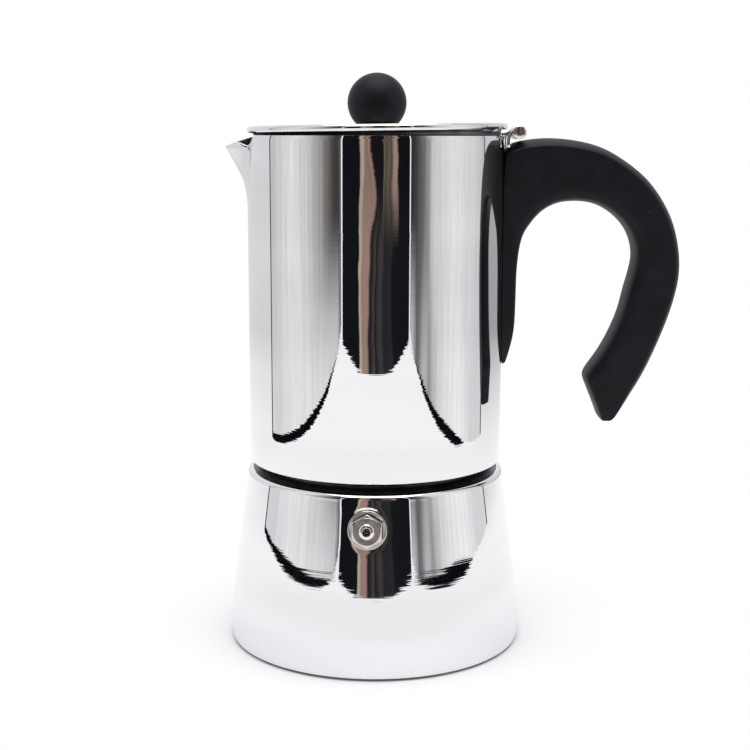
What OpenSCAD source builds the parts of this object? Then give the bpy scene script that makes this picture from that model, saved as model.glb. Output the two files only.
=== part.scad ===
// Six-cup stainless moka pot. Units are mm, +Z is up, the handle points to +X and the spout to -X.
// The origin is the centre of the base disc's underside, on the surface that the pot stands on.

/* [Boiler] */
// Widest diameter of the boiler
boiler_d = 100; // [90:0.5:110]
// Height where the boiler is widest
widest_z = 9; // [6:0.5:12]
// Radius of the boiler just under its shoulder
shoulder_r = 43.7; // [43.2:0.1:45]
// Height of the top of the shoulder's round
shoulder_z = 59.5; // [58.5:0.1:60]
// Radius of the shoulder's round
shoulder_round = 1.8; // [1.5:0.1:3]
// Thickness of the boiler's sheet
boiler_t = 1.2; // [0.8:0.1:1.5]
// Radius of the base disc
disc_r = 45.5; // [40:0.5:45.5]
// Thickness of the base disc
disc_t = 1.6; // [1:0.1:2]

/* [Screw joint] */
// Pitch of the screw thread that joins the boiler to the collector
thread_pitch = 4; // [3:0.5:5]
// Inner radius of the boiler's neck
neck_bore_r = 33.4; // [33.2:0.1:33.6]
// Root radius of the thread on the neck
male_root_r = 35; // [34.8:0.1:35.2]
// Crest radius of the thread on the neck
male_crest_r = 36.6; // [36.2:0.1:36.7]
// Height of the neck's rim
neck_top_z = 71.2; // [71:0.1:71.4]
// Steps of the thread per turn
thread_steps = 36; // [24:4:60]

/* [Funnel] */
// Outer radius of the coffee cup of the funnel
cup_r = 32.9; // [32:0.1:33]
// Outer radius of the funnel's stem
stem_r = 5.6; // [5:0.1:7]
// Height of the stem's lower end
stem_bottom_z = 9; // [6:0.5:14]
// Thickness of the funnel's sheet
funnel_t = 0.8; // [0.6:0.1:1]

/* [Collector] */
// Outer radius of the collector
collector_r = 42.8; // [42:0.1:43]
// Height of the collector's lower edge
collector_bottom_z = 62.7; // [62.4:0.1:63]
// Height of the collector's rim
rim_z = 171.6; // [150:0.1:190]
// Thickness of the collector's sheet
collector_t = 0.9; // [0.7:0.1:1]
// Radius of the collector's lower edge
collector_edge_r = 0.6; // [0.5:0.1:1]
// Underside of the collector's floor
floor_z = 76.2; // [76:0.1:76.4]
// Height of the riser tube's top
riser_top_z = 138; // [110:1:150]

/* [Spout] */
// How far the spout's tip stands out of the collector's wall
spout_out = 7.4; // [4:0.2:12]
// Height of the spout's tip
spout_tip_z = 167.9; // [160:0.1:170]
// Height where the spout's lower end meets the wall
spout_low_z = 142; // [130:1:150]
// Half width of the spout at the rim
spout_half_w = 16.3; // [12:0.1:18]

/* [Lid and knob] */
// Outer radius of the lid's bead
lid_r = 43.35; // [43:0.05:43.6]
// Radius of the lid's bead
bead_r = 1.15; // [1:0.05:1.3]
// How far the lid sits towards the hinge
lid_dx = 0.5; // [0:0.1:0.6]
// How far the lid leans down towards the spout when closed, in degrees
lid_lean = 0.9; // [0:0.1:0.9]
// Radius of the ball knob
knob_r = 9.8; // [8:0.1:12]

/* [Hinge] */
// Distance of the hinge pin from the pot's axis
hinge_x = 47; // [46.8:0.1:48.5]
// Outer radius of the rolled barrel
barrel_r = 2.25; // [2:0.05:2.4]
// Radius of the hinge pin
pin_r = 1; // [0.8:0.05:1.2]

/* [Valve] */
// Height of the valve on the wall
valve_z = 48.7; // [45:0.1:50]
// How far the valve is turned from the front towards the spout, in degrees
valve_turn = 3; // [0:0.5:6]
// Radius of the round boss under the valve
valve_boss_r = 6.25; // [5.5:0.05:6.5]
// Width of the valve's hexagon across flats
valve_hex = 9.5; // [8:0.1:10.5]

/* [Hidden] */
$fn = 96;
boiler_r = boiler_d / 2;
wall_run = shoulder_z - shoulder_round - widest_z;
wall_k = (boiler_r - shoulder_r - 0.112 * wall_run) / (wall_run * wall_run);
hinge_z = rim_z + 1.15;
lid_z = rim_z + 2.45;
lid_top = 0.85;
knob_flat = lid_top + 0.05;
female_root_r = male_crest_r + 0.45;
female_crest_r = male_root_r + 0.4;
valve_drop = 0.112 + 2 * wall_k * (valve_z - widest_z);
valve_tilt = atan(valve_drop);
valve_wall_r = boiler_r - 0.112 * (valve_z - widest_z) - wall_k * pow(valve_z - widest_z, 2);

steel = [0.8, 0.8, 0.82];
black = [0.08, 0.08, 0.09];

// Points of an arc in the r-z plane
function arc(cx, cz, r, a0, a1, n) =
    [for (i = [0:n]) [cx + r * cos(a0 + (a1 - a0) * i / n), cz + r * sin(a0 + (a1 - a0) * i / n)]];

// Radius of the boiler's outer wall at a height, from its lower edge to just under the shoulder
function wall_r(z) = z < widest_z
    ? boiler_r - 0.2 * pow((widest_z - z) / 7.6, 2)
    : boiler_r - 0.112 * (z - widest_z) - wall_k * pow(z - widest_z, 2);

function wall_points(inset, z0, z1, n) =
    [for (i = [0:n]) let (z = z0 + (z1 - z0) * i / n) [wall_r(z) - inset, z]];

function outer_profile() = concat(
    [[disc_r + 0.2, disc_t], [disc_r + 1.1, 0.4]],
    arc(48.8 - 50 + boiler_r, 1.4, 1, -90, 0, 6),
    wall_points(0, 2.2, shoulder_z - shoulder_round, 24),
    arc(shoulder_r - shoulder_round, shoulder_z - shoulder_round, shoulder_round, 8, 90, 8),
    [[39.7, shoulder_z + 0.9], [36.9, shoulder_z + 0.9]]);

function inner_profile() = concat(
    [[36.9, shoulder_z + 0.9 - boiler_t], [39.5, shoulder_z + 0.9 - boiler_t]],
    arc(shoulder_r - shoulder_round, shoulder_z - shoulder_round, shoulder_round - boiler_t, 90, 0, 6),
    [for (i = [1:24]) let (z = shoulder_z - shoulder_round - (shoulder_z - shoulder_round - 3.2) * i / 24)
        [wall_r(z) - boiler_t, z]],
    arc(boiler_r - 2.6, 3, 1.4, 0, -90, 5),
    [[disc_r + 0.5, 1.6], [disc_r - 0.6, disc_t + boiler_t], [0, disc_t + boiler_t], [0, disc_t]]);

// Puts its children on the boiler's wall at the valve, with their +Z pointing out of the wall
module at_valve() {
    rotate([0, 0, -90 - valve_turn])
        translate([valve_wall_r, 0, valve_z])
            rotate([0, 90 - valve_tilt, 0])
                children();
}

module base_disc() {
    color(steel)
        rotate_extrude()
            polygon([[0, 0], [disc_r - 0.5, 0], [disc_r, 0.5], [disc_r, disc_t], [0, disc_t]]);
}

module boiler_shell() {
    color(steel)
        difference() {
            rotate_extrude()
                polygon(concat(outer_profile(), inner_profile()));
            at_valve()
                translate([0, 0, -4])
                    cylinder(h = 8, r = 4.1);
        }
}

// One helical ridge. It is full from z0 to its end, and tapers at both ends.
module ridge(base_r, crest_r, z0, turns) {
    n = thread_steps * turns;
    base_h = 1.15;
    crest_h = 0.55;
    fade = function (i) min(1, min(i, n - i) / 4);
    pts = [for (i = [0:n]) let (
            a = 360 * i / thread_steps,
            z = z0 + thread_pitch * i / thread_steps,
            f = 0.25 + 0.75 * fade(i),
            rc = base_r + (crest_r - base_r) * f)
        each [[base_r * cos(a), base_r * sin(a), z - base_h],
            [rc * cos(a), rc * sin(a), z - crest_h],
            [rc * cos(a), rc * sin(a), z + crest_h],
            [base_r * cos(a), base_r * sin(a), z + base_h]]];
    out = crest_r > base_r;
    sides = [for (i = [0:n - 1]) for (k = [0:3]) let (
            a = 4 * i + k,
            b = 4 * i + (k + 1) % 4,
            c = 4 * i + 4 + (k + 1) % 4,
            d = 4 * i + 4 + k)
        each (out ? [[a, b, c], [a, c, d]] : [[a, c, b], [a, d, c]])];
    last = 4 * n;
    caps = out
        ? [[0, 3, 2], [0, 2, 1], [last, last + 1, last + 2], [last, last + 2, last + 3]]
        : [[0, 2, 3], [0, 1, 2], [last, last + 2, last + 1], [last, last + 3, last + 2]];
    polyhedron(points = pts, faces = concat(sides, caps), convexity = 6);
}

module neck_ring() {
    color(steel)
        union() {
            rotate_extrude()
                polygon([[neck_bore_r, shoulder_z - 1.6], [39.2, shoulder_z - 1.6],
                    [39.2, shoulder_z - 0.3], [36.88, shoulder_z - 0.3], [36.88, shoulder_z + 1.4],
                    [male_root_r, shoulder_z + 2], [male_root_r, neck_top_z - 0.4],
                    [male_root_r - 0.4, neck_top_z], [neck_bore_r, neck_top_z]]);
            ridge(male_root_r - 0.4, male_crest_r, shoulder_z + 3.6, 1.75);
        }
}

module valve_boss() {
    color(steel)
        difference() {
            at_valve()
                translate([0, 0, -0.8])
                    difference() {
                        cylinder(h = 2, r = valve_boss_r);
                        translate([0, 0, -1])
                            cylinder(h = 4, r = 4.1);
                    }
            rotate_extrude($fn = 360)
                polygon([[0, valve_z - 20], [valve_wall_r + 0.02 + 20 * valve_drop, valve_z - 20],
                    [valve_wall_r + 0.02 - 10 * valve_drop, valve_z + 10], [0, valve_z + 10]]);
        }
}

module valve_body() {
    color(steel)
        at_valve()
            difference() {
                union() {
                    translate([0, 0, -9])
                        cylinder(h = 10.3, r = 4);
                    intersection() {
                        translate([0, 0, 1.25])
                            cylinder(h = 3.4, r = valve_hex / 2 / cos(30), $fn = 6);
                        translate([0, 0, 1.2])
                            cylinder(h = 3.6, r1 = 7.4, r2 = 4.7);
                    }
                    translate([0, 0, 4])
                        cylinder(h = 1.1, r = 4.5);
                }
                translate([0, 0, -7])
                    cylinder(h = 14, r = 2.6);
                translate([0, 0, -10])
                    cylinder(h = 4, r = 1.1);
            }
}

module valve_nut() {
    color(steel)
        at_valve()
            translate([0, 0, -5.2])
                difference() {
                    cylinder(h = 3.2, r = 6 / cos(30), $fn = 6);
                    translate([0, 0, -1])
                        cylinder(h = 6, r = 4.02);
                }
}

module valve_plunger() {
    color(steel)
        at_valve() {
            translate([0, 0, -6.98])
                cylinder(h = 1.2, r = 2.53);
            translate([0, 0, -6])
                cylinder(h = 7.4, r = 0.9);
        }
}

// A coil of round wire, swept with eight sides
module coil(mean_r, wire_r, z0, z1, turns) {
    sides = 8;
    n = 16 * turns;
    pts = [for (i = [0:n]) for (k = [0:sides - 1]) let (
            a = 22.5 * i,
            b = 360 * k / sides,
            r = mean_r + wire_r * cos(b))
        [r * cos(a), r * sin(a), z0 + (z1 - z0) * i / n + wire_r * sin(b)]];
    faces = [for (i = [0:n - 1]) for (k = [0:sides - 1]) let (
            a = sides * i + k,
            b = sides * i + (k + 1) % sides)
        each [[a, a + sides, b + sides], [a, b + sides, b]]];
    caps = [[for (k = [0:sides - 1]) k], [for (k = [sides - 1:-1:0]) sides * n + k]];
    polyhedron(points = pts, faces = concat(faces, caps), convexity = 8);
}

module valve_spring() {
    color(steel)
        at_valve()
            coil(1.75, 0.3, -5.4, 2.2, 5);
}

module valve_retainer() {
    color(steel)
        at_valve()
            difference() {
                union() {
                    translate([0, 0, 2.6])
                        cylinder(h = 2.3, r = 2.59);
                    translate([0, 0, 4.9])
                        cylinder(h = 0.6, r1 = 2.59, r2 = 1.45);
                }
                translate([0, 0, 2])
                    cylinder(h = 4, r = 1.25);
            }
}

module funnel() {
    cone_z = stem_bottom_z + 29;
    color(steel)
        rotate_extrude()
            polygon([[cup_r - funnel_t, neck_top_z + 0.8], [cup_r - funnel_t, 50.4], [31.3, 50.4],
                [31.3, 48.4], [29.6, 46.8], [stem_r - funnel_t, cone_z - 0.2],
                [stem_r - funnel_t, stem_bottom_z], [stem_r, stem_bottom_z], [stem_r, cone_z - 0.8],
                [30.2, 46.1], [cup_r, 48.4], [cup_r, neck_top_z], [36, neck_top_z],
                [36, neck_top_z + 0.8]]);
}

// Round holes on rings, six more on each ring
module hole_rings(rings, pitch, hole_r, z, h) {
    translate([0, 0, z])
        cylinder(h = h, r = hole_r, $fn = 16);
    for (k = [1:rings])
        for (i = [0:6 * k - 1])
            rotate([0, 0, 60 * i / k])
                translate([pitch * k, 0, z])
                    cylinder(h = h, r = hole_r, $fn = 16);
}

module funnel_filter() {
    color(steel)
        difference() {
            translate([0, 0, 50.42])
                cylinder(h = 0.7, r = cup_r - funnel_t - 0.03);
            hole_rings(4, 6.4, 0.9, 50, 2);
        }
}

module gasket() {
    color([0.9, 0.9, 0.88])
        rotate_extrude()
            polygon([[29.05, neck_top_z + 1.25], [29.45, neck_top_z + 0.83], [36.1, neck_top_z + 0.83],
                [36.5, neck_top_z + 1.25], [36.5, floor_z - 0.9], [29.05, floor_z - 0.9]]);
}

module filter_plate() {
    color(steel)
        difference() {
            rotate_extrude()
                polygon([[0, floor_z - 3], [28.2, floor_z - 3], [28.9, floor_z - 2.3],
                    [28.9, floor_z - 0.85], [34, floor_z - 0.85], [34, floor_z - 0.05],
                    [28, floor_z - 0.05], [28, floor_z - 2.3], [0, floor_z - 2.3]]);
            hole_rings(4, 5.9, 0.8, floor_z - 4, 3);
        }
}

// Half width of the spout's cut in the collector at a height
function spout_w(z) = z <= spout_low_z ? 0 : spout_half_w * sqrt((z - spout_low_z) / (rim_z - spout_low_z));

// How far the spout's nose stands out at a height
function spout_n(z) = let (t = (z - spout_low_z) / (spout_tip_z - spout_low_z))
    t <= 0
        ? 0
        : spout_out * (t < 0.55 ? 0.18 * pow(t / 0.55, 3) : 0.18 + 0.82 * pow((t - 0.55) / 0.45, 1.12));

module collector_shell() {
    cut = [for (i = [0:12]) let (z = spout_low_z + (rim_z - spout_low_z) * pow(i / 12, 2)) [spout_w(z), z]];
    color(steel)
        difference() {
            rotate_extrude()
                polygon(concat(
                    [[38.9, collector_bottom_z], [collector_r - collector_edge_r, collector_bottom_z]],
                    arc(collector_r - collector_edge_r, collector_bottom_z + collector_edge_r,
                        collector_edge_r, -75, 0, 5),
                    [[collector_r, rim_z - 0.3]],
                    arc(collector_r - 0.45, rim_z - 0.45, 0.45, 30, 150, 4),
                    [[collector_r - collector_t, rim_z - 0.5],
                        [collector_r - collector_t, collector_bottom_z + collector_t + 0.3],
                        [collector_r - collector_t - 0.3, collector_bottom_z + collector_t],
                        [38.9, collector_bottom_z + collector_t]]));
            rotate([90, 0, -90])
                translate([0, 0, collector_r - 8])
                    linear_extrude(height = 16)
                        polygon(concat(
                            [for (p = cut) [p[0], p[1]]],
                            [[spout_half_w, rim_z + 2], [-spout_half_w, rim_z + 2]],
                            [for (i = [12:-1:1]) [-cut[i][0], cut[i][1]]]));
        }
}

module spout() {
    nu = 20;
    nv = 12;
    top = function (u) let (a = abs(u)) spout_tip_z + 2.9 * pow(a, 1.3) - 1.9 * pow(sin(180 * a), 2);
    soft = function (u) (sqrt(u * u + 0.012) - 0.1095) / (sqrt(1.012) - 0.1095);
    at = function (u, v, inset) let (
            z0 = spout_low_z + 0.6,
            z = z0 + (top(u) - z0) * v,
            w = spout_w(z) - 0.03,
            y = u * w,
            r = collector_r - inset)
        [-sqrt(r * r - y * y) - spout_n(min(z, spout_tip_z)) * (1 - soft(u)), y, z];
    grid = function (inset) [for (j = [0:nv]) for (i = [0:nu]) at(2 * i / nu - 1, j / nv, inset)];
    m = (nu + 1) * (nv + 1);
    id = function (i, j) j * (nu + 1) + i;
    skin = [for (j = [0:nv - 1]) for (i = [0:nu - 1]) let (
            a = id(i, j),
            b = id(i + 1, j),
            c = id(i + 1, j + 1),
            d = id(i, j + 1))
        each [[a, b, c], [a, c, d], [m + a, m + c, m + b], [m + a, m + d, m + c]]];
    ends = [for (j = [0:nv - 1]) each [
        [id(0, j), id(0, j + 1), m + id(0, j + 1)], [id(0, j), m + id(0, j + 1), m + id(0, j)],
        [id(nu, j), m + id(nu, j + 1), id(nu, j + 1)], [id(nu, j), m + id(nu, j), m + id(nu, j + 1)]]];
    rims = [for (i = [0:nu - 1]) each [
        [id(i, 0), m + id(i + 1, 0), id(i + 1, 0)], [id(i, 0), m + id(i, 0), m + id(i + 1, 0)],
        [id(i, nv), id(i + 1, nv), m + id(i + 1, nv)], [id(i, nv), m + id(i + 1, nv), m + id(i, nv)]]];
    color(steel)
        polyhedron(points = concat(grid(0), grid(collector_t)), faces = concat(skin, ends, rims),
            convexity = 4);
}

module collector_floor() {
    r = collector_r - collector_t - 0.03;
    color(steel)
        rotate_extrude()
            polygon([[9, floor_z], [r - 0.8, floor_z], [r, floor_z + 0.8], [r, floor_z + 5],
                [r - 0.8, floor_z + 5], [r - 0.8, floor_z + 1.6], [r - 1.5, floor_z + 0.9],
                [9, floor_z + 0.9]]);
}

module thread_ring() {
    low = collector_bottom_z + collector_t + 0.02;
    color(steel)
        union() {
            rotate_extrude()
                polygon([[female_root_r + 0.3, low], [39.5, low], [39.5, floor_z], [female_root_r, floor_z],
                    [female_root_r, low + 0.3]]);
            ridge(female_root_r + 0.4, female_crest_r, shoulder_z + 5.6, 1.25);
        }
}

module riser_tube() {
    z = floor_z + 0.9;
    color(steel)
        rotate_extrude()
            polygon([[9, z], [14, z], [14, z + 0.8], [10.5, z + 1.6], [6.6, z + 6], [5, z + 12],
                [4.8, riser_top_z], [4, riser_top_z], [4.2, z + 12], [5.8, z + 5.6], [9, z + 1.4]]);
}

module riser_cap() {
    z = riser_top_z;
    color(steel)
        difference() {
            rotate_extrude()
                polygon([[4.86, z - 6], [6.4, z - 6], [7, z - 5.4], [7, z + 5], [6, z + 6.6], [3, z + 7.4],
                    [0, z + 7.4], [0, z + 6.5], [2.8, z + 6.5], [5.4, z + 5.9], [6.1, z + 4.6],
                    [6.1, z + 0.6], [4, z + 0.6], [4, z + 0.02], [4.86, z + 0.02]]);
            for (a = [45, 135])
                rotate([0, 0, a])
                    translate([-10, -2.2, z + 1.2])
                        cube([20, 4.4, 3.2]);
        }
}

// A plate that follows the collector's wall, from -half to +half degrees about +X
module wall_plate(r0, r1, half_w, z0, z1) {
    intersection() {
        translate([0, 0, z0])
            difference() {
                cylinder(h = z1 - z0, r = r1);
                translate([0, 0, -1])
                    cylinder(h = z1 - z0 + 2, r = r0);
            }
        translate([20, -half_w, z0 - 1])
            cube([40, 2 * half_w, z1 - z0 + 2]);
    }
}

module handle_bracket() {
    color(steel)
        difference() {
            union() {
                wall_plate(collector_r + 0.02, collector_r + 1.1, 4, 108, 157.5);
                translate([collector_r + 0.1, -4, 154.9])
                    cube([17.5, 8, 2.6]);
            }
            translate([56, 0, 150])
                cylinder(h = 10, r = 2);
        }
}

// Sections of the handle from the foot's tip to the free end: inner x, z, outer x, z, half width
handle_rows = [
    [44.1, 95.4, 43.1, 94.8, 3.6], [45.8, 101.4, 42.4, 100.4, 5.6], [47, 108, 42.2, 108, 6.4],
    [47.3, 118, 42.2, 118, 6.7], [47.5, 128, 42.2, 130, 7], [48.7, 137, 42.2, 146, 7.6],
    [51.4, 142.3, 42.2, 159, 8.4], [55.6, 147, 43, 168, 9], [60.8, 149.6, 52.3, 170.4, 9.2],
    [66.9, 150.2, 63.4, 171, 9.4], [73, 149.3, 74.4, 168.4, 9.4], [78.4, 146.5, 84.4, 162.8, 9.3],
    [82.9, 142.3, 92.1, 157, 9.2], [85.6, 137.4, 98, 147, 9.1], [86.6, 132, 101.4, 137, 9],
    [85.8, 126.6, 102.6, 127, 9], [84.2, 120.6, 101.7, 118, 9], [82.4, 113, 99.2, 109.4, 8.9],
    [79.2, 105, 96, 101.8, 8.8], [75.4, 98.2, 92.2, 94, 8.6], [71, 91, 88.8, 87.6, 8.4],
    [73.3, 84.4, 86.2, 83, 8], [75.8, 78.6, 84.4, 79.4, 7.2], [77.6, 76.4, 82.4, 77, 5.6]];

function spow(x, p) = sign(x) * pow(abs(x), p);

// Halfway rows between the given ones, on a smooth curve
function mid(rows, i) = let (n = len(rows), a = rows[max(i - 1, 0)], d = rows[min(i + 2, n - 1)])
    (9 * (rows[i] + rows[i + 1]) - a - d) / 16;

function fine_rows(rows) = [for (i = [0:len(rows) - 1])
    each (i < len(rows) - 1 && i < 19 ? [rows[i], mid(rows, i)] : [rows[i]])];

module handle() {
    rows = fine_rows(handle_rows);
    sides = 20;
    n = len(rows) - 1;
    pts = [for (q = rows) for (k = [0:sides - 1]) let (
            a = 360 * k / sides,
            u = spow(cos(a), 0.72),
            v = spow(sin(a), 0.72))
        [(q[0] + q[2]) / 2 + u * (q[2] - q[0]) / 2, q[4] * v, (q[1] + q[3]) / 2 + u * (q[3] - q[1]) / 2]];
    faces = [for (i = [0:n - 1]) for (k = [0:sides - 1]) let (
            a = sides * i + k,
            b = sides * i + (k + 1) % sides)
        each [[a, b + sides, a + sides], [a, b, b + sides]]];
    caps = [[for (k = [sides - 1:-1:0]) k], [for (k = [0:sides - 1]) sides * n + k]];
    color(black)
        difference() {
            polyhedron(points = pts, faces = concat(faces, caps), convexity = 6);
            translate([0, 0, 90])
                cylinder(h = 90, r = collector_r + 0.05);
            wall_plate(20, collector_r + 1.15, 4.1, 107.8, 180);
            wall_plate(20, collector_r + 1.35, 9.6, 161.4, 180);
            translate([collector_r - 2, -4.1, 154.8])
                cube([19.8, 8.2, 2.8]);
            translate([56, 0, 148])
                cylinder(h = 30, r = 2.3);
            translate([56, 0, 166.8])
                cylinder(h = 10, r = 4.2);
        }
}

module handle_screw() {
    color(steel)
        translate([56, 0, 0])
            difference() {
                union() {
                    translate([0, 0, 151])
                        cylinder(h = 16.2, r = 1.97);
                    translate([0, 0, 166.82])
                        cylinder(h = 2.3, r = 4);
                }
                translate([-5, -0.6, 168.2])
                    cube([10, 1.2, 2]);
            }
}

module hinge_bracket() {
    color(steel)
        difference() {
            union() {
                wall_plate(collector_r + 0.02, collector_r + 1.2, 9.4, 161.6, rim_z - 1.4);
                for (s = [-1, 1])
                    translate([0, s * 6.8 + 2.6, 0])
                        rotate([90, 0, 0])
                            linear_extrude(height = 5.2)
                                union() {
                                    polygon([[collector_r - 0.2, rim_z - 3.4], [collector_r + 1, rim_z - 3.4],
                                        [hinge_x - 0.4, rim_z - 1.05], [hinge_x - 1.9, rim_z + 0.6],
                                        [collector_r + 0.6, rim_z - 1.4], [collector_r - 0.2, rim_z - 1.4]]);
                                    translate([hinge_x, hinge_z])
                                        circle(r = barrel_r);
                                }
            }
            translate([hinge_x, 15, hinge_z])
                rotate([90, 0, 0])
                    cylinder(h = 30, r = pin_r + 0.04);
            translate([0, 0, 150])
                cylinder(h = 40, r = collector_r + 0.02);
        }
}

module hinge_pin() {
    color(steel)
        translate([hinge_x, 9.8, hinge_z])
            rotate([90, 0, 0])
                cylinder(h = 19.6, r = pin_r);
}

// Puts its children on the closed lid, with their origin in the middle of the lid's bead
module at_lid() {
    translate([lid_dx, 0, lid_z])
        rotate([0, -lid_lean, 0])
            children();
}

module lid() {
    color(steel)
        at_lid()
            rotate_extrude()
                polygon(concat(
                    [[2.1, lid_top], [lid_r - 2.6, lid_top]],
                    arc(lid_r - bead_r, 0, bead_r, 132, -62, 14),
                    [[40.9, -1.8], [40.9, -4.2], [40.6, -4.5], [40.1, -4.5],
                        [40.1, lid_top - 0.8], [2.1, lid_top - 0.8]]));
}

module lid_strap() {
    color(steel)
        translate([0, 3.9, 0])
            rotate([90, 0, 0])
                linear_extrude(height = 7.8)
                    difference() {
                        union() {
                            polygon([[41.7, rim_z + 0.12], [43.6, rim_z + 0.3], [hinge_x - 1.6, rim_z + 1.9],
                                [hinge_x - 0.6, rim_z + 3.3], [hinge_x - 1.3, rim_z + 3.05],
                                [43.2, rim_z + 0.95], [41.7, rim_z + 0.72]]);
                            translate([hinge_x, hinge_z])
                                circle(r = barrel_r);
                        }
                        translate([hinge_x, hinge_z])
                            circle(r = pin_r + 0.05);
                    }
}

module knob() {
    color(black)
        at_lid()
            difference() {
                translate([0, 0, knob_flat + 7.4])
                    sphere(r = knob_r);
                translate([-20, -20, knob_flat - 20])
                    cube([40, 40, 20]);
                translate([0, 0, knob_flat - 1])
                    cylinder(h = 10.5, r = 3);
            }
}

module knob_insert() {
    color([0.8, 0.62, 0.3])
        at_lid()
            translate([0, 0, knob_flat])
                difference() {
                    cylinder(h = 9, r = 2.98);
                    translate([0, 0, -1])
                        cylinder(h = 11, r = 2);
                }
}

module knob_screw() {
    z = lid_top - 0.8;
    color(steel)
        at_lid()
            difference() {
                rotate_extrude()
                    polygon([[0, z - 2.2], [2.2, z - 2.1], [3.6, z - 1.3], [4, z - 0.4], [4, z - 0.02],
                        [1.97, z - 0.02], [1.97, z + 8.4], [1.5, z + 8.8], [0, z + 8.8]]);
                for (a = [0, 90])
                    rotate([0, 0, a])
                        translate([-2, -0.4, z - 3])
                            cube([4, 0.8, 1.8]);
            }
}

base_disc();
boiler_shell();
neck_ring();
valve_boss();
valve_body();
valve_nut();
valve_plunger();
valve_spring();
valve_retainer();
funnel();
funnel_filter();
gasket();
filter_plate();
collector_shell();
spout();
collector_floor();
thread_ring();
riser_tube();
riser_cap();
handle_bracket();
handle();
handle_screw();
hinge_bracket();
hinge_pin();
lid();
lid_strap();
knob();
knob_insert();
knob_screw();
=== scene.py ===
from math import asin, cos, pi, radians, sin, sqrt

import bmesh
import bpy
from mathutils import Matrix, Vector


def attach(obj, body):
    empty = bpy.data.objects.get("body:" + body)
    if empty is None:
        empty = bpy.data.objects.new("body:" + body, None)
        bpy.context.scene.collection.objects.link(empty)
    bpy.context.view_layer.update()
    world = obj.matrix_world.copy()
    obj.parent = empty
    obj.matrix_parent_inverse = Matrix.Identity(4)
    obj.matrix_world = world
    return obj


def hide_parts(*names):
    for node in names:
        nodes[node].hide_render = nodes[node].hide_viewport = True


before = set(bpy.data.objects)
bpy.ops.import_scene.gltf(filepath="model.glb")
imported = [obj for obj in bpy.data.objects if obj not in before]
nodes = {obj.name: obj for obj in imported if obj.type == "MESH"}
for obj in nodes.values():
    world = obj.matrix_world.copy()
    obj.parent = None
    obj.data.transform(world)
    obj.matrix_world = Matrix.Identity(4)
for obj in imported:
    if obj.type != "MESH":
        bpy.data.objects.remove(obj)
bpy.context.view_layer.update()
scene = bpy.context.scene
scene.view_settings.view_transform = "Standard"
mm = 0.001
weld = 0.000002  # vertices closer than this are one
print("frame loaded:", len(nodes), "nodes")

# camera: a phone lens half a metre away, level with the rim and pitched down
shot = {"focal": 1397.07, "frame": 750, "back": 0.47184, "height": 0.17199, "side": -0.00008,
        "pitch": 9.7721, "roll": 0.1505}
cameraData = bpy.data.cameras.new("shotCamera")
cameraData.sensor_width = 36
cameraData.lens = cameraData.sensor_width * shot["focal"] / shot["frame"]
camera = bpy.data.objects.new("shotCamera", cameraData)
camera.matrix_world = (Matrix.Translation((shot["side"], -shot["back"], shot["height"]))
                       @ Matrix.Rotation(radians(90 - shot["pitch"]), 4, "X")
                       @ Matrix.Rotation(radians(shot["roll"]), 4, "Z"))
scene.collection.objects.link(camera)
scene.camera = camera
print("camera set")


def linear(hexText):
    parts = [int(hexText[i:i + 2], 16) / 255 for i in (1, 3, 5)]
    return tuple(c / 12.92 if c <= 0.04045 else ((c + 0.055) / 1.055) ** 2.4 for c in parts) + (1,)


def add(tree, kind, inputs=None, **settings):
    made = tree.nodes.new("ShaderNode" + kind)
    for name, value in settings.items():
        setattr(made, name, value)
    for key, value in (inputs or {}).items():
        if isinstance(value, bpy.types.NodeSocket):
            tree.links.new(value, made.inputs[key])
        else:
            made.inputs[key].default_value = value
    return made


def newMaterial(name, **sockets):
    material = bpy.data.materials.new(name)
    material.use_nodes = True
    tree = material.node_tree
    shader = tree.nodes["Principled BSDF"]
    for key, value in sockets.items():
        shader.inputs[key.replace("_", " ")].default_value = value
    where = add(tree, "TexCoord").outputs["Object"]
    return material, tree, shader, where


def setRamp(ramp, stops):
    while len(ramp.elements) > 1:
        ramp.elements.remove(ramp.elements[-1])
    ramp.elements[0].position, ramp.elements[0].color = stops[0]
    for position, color in stops[1:]:
        ramp.elements.new(position).color = color


# a material's colour, and its roughness where given, follow one pattern between two values
def mottle(tree, shader, pattern, tones, rough=None, stops=(0.3, 0.7)):
    tone = add(tree, "ValToRGB", {"Fac": pattern})
    setRamp(tone.color_ramp, [(stop, linear(hexText)) for stop, hexText in zip(stops, tones)])
    tree.links.new(tone.outputs[0], shader.inputs["Base Color"])
    if rough:
        dull = add(tree, "MapRange", {"Value": pattern, "To Min": rough[0], "To Max": rough[1]})
        tree.links.new(dull.outputs[0], shader.inputs["Roughness"])


valve = {"z": 48.7, "radius": 44.992, "tilt": 7.987, "turn": 3.0, "boss": 6.25, "hex": 9.5, "thick": 3.2,
         "edge": 0.42, "bore": 2.59, "hole": 1.25}
valveSpot = (-valve["radius"] * mm * sin(radians(valve["turn"])),
             -valve["radius"] * mm * cos(radians(valve["turn"])), valve["z"] * mm)

# depths and distances in metres
polish = {"rowDepth": 0.0000032, "boilerRowDepth": 0.0000045, "waveDepth": 0.00002,
          "sinkDepth": 0.0001, "sinkFrom": 0.0055, "sinkTo": 0.0082,
          "ridgeDepth": -0.000012, "ridgeFrom": 0.0078, "ridgeTo": 0.0115}


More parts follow.
